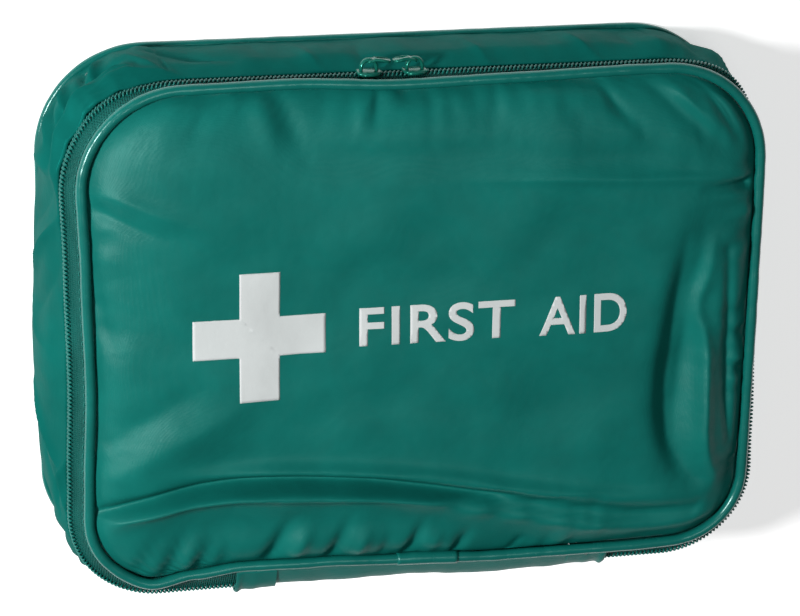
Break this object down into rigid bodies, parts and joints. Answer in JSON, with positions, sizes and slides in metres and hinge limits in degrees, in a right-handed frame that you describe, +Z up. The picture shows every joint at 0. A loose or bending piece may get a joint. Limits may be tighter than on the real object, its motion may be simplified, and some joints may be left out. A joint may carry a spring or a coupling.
{
  "type": "first aid kit",
  "caption": "soft zip-round first aid pouch in green coated nylon, lying on its back, with a piped cover that folds open on a cloth hinge, zip sliders, and dressings and tools inside",
  "frame": {"origin": "under the middle of the whole pouch, on the surface that its back panel rests on", "axes": "+Z up through the front cover, +X along the width towards the wearer's right when the cover is read, +Y towards the top edge, where the sliders meet"},
  "size_m": [0.243, 0.1856, 0.0547],
  "materials": {
    "coated_nylon": "smooth polyurethane-coated nylon, satin gloss",
    "piping_cover": "glossy soft PVC over a round cord",
    "zip_tape": "woven polyester tape with a herringbone weave",
    "zip_coil": "moulded nylon monofilament coil",
    "seam_tape": "folded woven binding tape",
    "slider_metal": "glossy green enamel over die-cast zinc",
    "white_print": "matt screen-printed ink",
    "clear_wrap": "thin glossy packet film",
    "paper_wrap": "creped medical paper",
    "card_stock": "uncoated printed card",
    "knit_bandage": "loosely knitted cotton",
    "tape_white": "microporous paper tape",
    "core_card": "wound grey-brown card",
    "foil_film": "crinkled metallised film",
    "glove_vinyl": "folded blue vinyl in a film bag",
    "steel": "bright stamped stainless steel",
    "grip_plastic": "moulded green polypropylene"
  },
  "bodies": {
    "case_body": {"back_panel": "coated_nylon", "back_piping": "piping_cover", "wall_gusset": "coated_nylon", "hinge_gusset": "coated_nylon", "rear_zip_tape": "zip_tape", "rear_zip_coil": "zip_coil", "rear_seam_binding": "seam_tape", "back_seam_binding": "seam_tape", "left_zip_end_tab": "coated_nylon", "right_zip_end_tab": "coated_nylon", "lower_triangular_bandage": "clear_wrap", "upper_triangular_bandage": "clear_wrap", "plaster_wallet": "card_stock", "foil_blanket_pack": "foil_film", "glove_pack": "glove_vinyl", "cleansing_wipes": "paper_wrap", "adhesive_tape_roll": "tape_white", "tape_roll_core": "core_card", "large_dressing_pack": "paper_wrap", "eye_dressing_pack": "paper_wrap", "face_shield_pack": "clear_wrap", "lower_medium_dressing": "paper_wrap", "upper_medium_dressing": "paper_wrap", "guidance_leaflet": "card_stock", "conforming_bandage": "knit_bandage", "tweezers": "steel", "safety_pins": "steel", "scissors_lower_blade": "steel", "scissors_rivet": "steel", "scissors_lower_grip": "grip_plastic"},
    "front_cover": {"front_panel": "coated_nylon", "front_piping": "piping_cover", "piping_join": "piping_cover", "cover_hinge_band": "coated_nylon", "front_zip_tape": "zip_tape", "front_zip_coil": "zip_coil", "front_seam_binding": "seam_tape", "cross_print": "white_print", "lettering_print": "white_print"},
    "left_slider_body": {"left_slider": "slider_metal"},
    "left_pull_tab": {"left_pull": "slider_metal"},
    "right_slider_body": {"right_slider": "slider_metal"},
    "right_pull_tab": {"right_pull": "slider_metal"},
    "scissors_half": {"scissors_upper_blade": "steel", "scissors_upper_grip": "grip_plastic"}
  },
  "joints": [
    {"name": "cover_hinge", "type": "hinge", "parent": "case_body", "child": "front_cover", "pos_m": [0.0019, -0.09236, 0.0375], "axis": [1, 0, 0], "range_deg": [0, 180]},
    {"name": "left_slider_run", "type": "slide", "parent": "case_body", "child": "left_slider_body", "axis": [-1, 0, 0], "range_m": [0, 0.0579]},
    {"name": "right_slider_run", "type": "slide", "parent": "case_body", "child": "right_slider_body", "axis": [1, 0, 0], "range_m": [0, 0.0803]},
    {"name": "left_pull_hinge", "type": "hinge", "parent": "left_slider_body", "child": "left_pull_tab", "pos_m": [-0.0171, 0.09105, 0.0375], "axis": [0, 0, 1], "range_deg": [0, 165]},
    {"name": "right_pull_hinge", "type": "hinge", "parent": "right_slider_body", "child": "right_pull_tab", "pos_m": [-0.0019, 0.09105, 0.0375], "axis": [0, 0, -1], "range_deg": [0, 165]},
    {"name": "scissors_pivot", "type": "hinge", "parent": "case_body", "child": "scissors_half", "pos_m": [-0.0378, 0.0114, 0.0352], "axis": [0, 0, 1], "range_deg": [0, 50]}
  ]
}
